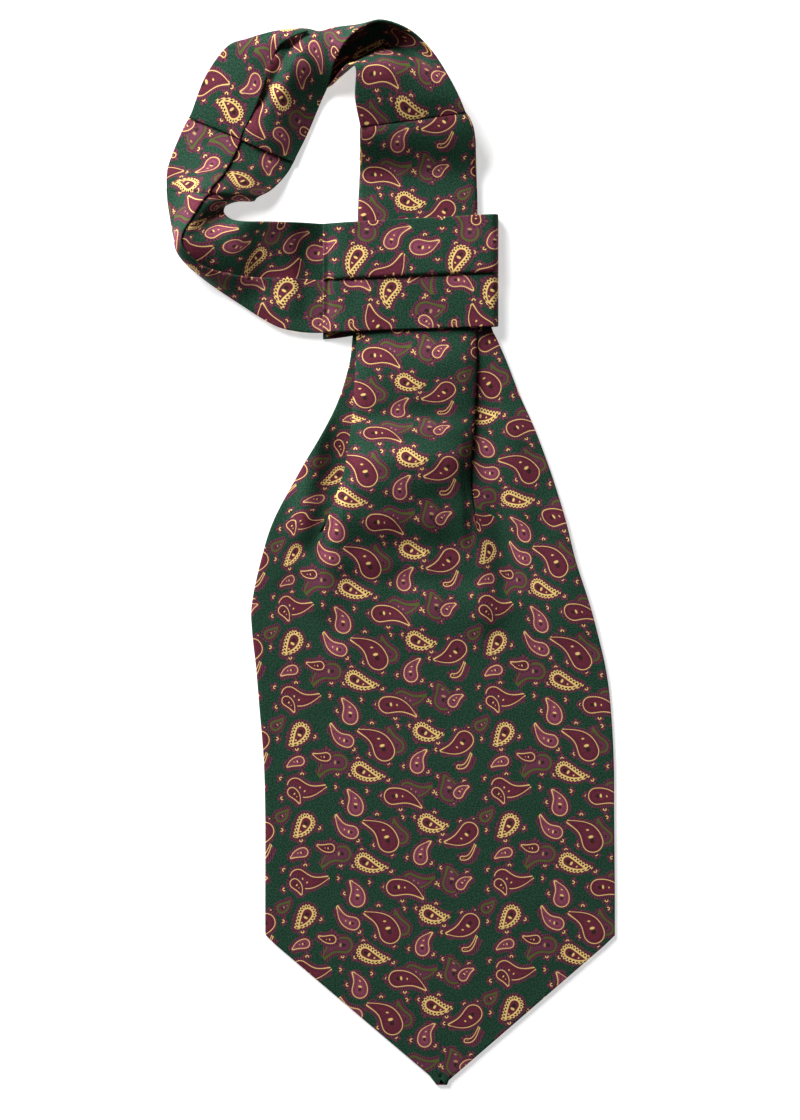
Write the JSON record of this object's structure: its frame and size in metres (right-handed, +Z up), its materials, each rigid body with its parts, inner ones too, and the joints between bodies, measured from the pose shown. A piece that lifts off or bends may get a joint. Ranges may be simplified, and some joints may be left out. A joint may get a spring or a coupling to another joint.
{
  "type": "silk cravat",
  "caption": "Ready-tied silk cravat laid flat: a wide pointed blade pleated into a narrow neck strip, looped round and held by a sewn keeper.",
  "frame": {"origin": "centre of the laid cravat's outline, on the surface it lies on", "axes": "+Y from the blade's point towards the neck loop, +Z up from the surface, +X to the right seen from above"},
  "size_m": [0.2052, 0.4858, 0.0201],
  "materials": {
    "blade_silk": "satin",
    "keeper_silk": "satin",
    "neck_middle_silk": "satin",
    "neck_middle_lap_silk": "satin",
    "neck_end_silk": "satin",
    "neck_end_lap_silk": "satin"
  },
  "bodies": {
    "root": {"blade": "blade_silk", "keeper": "keeper_silk", "neck_middle": "neck_middle_silk", "neck_middle_lap": "neck_middle_lap_silk", "neck_end": "neck_end_silk", "neck_end_lap": "neck_end_lap_silk"}
  },
  "joints": []
}
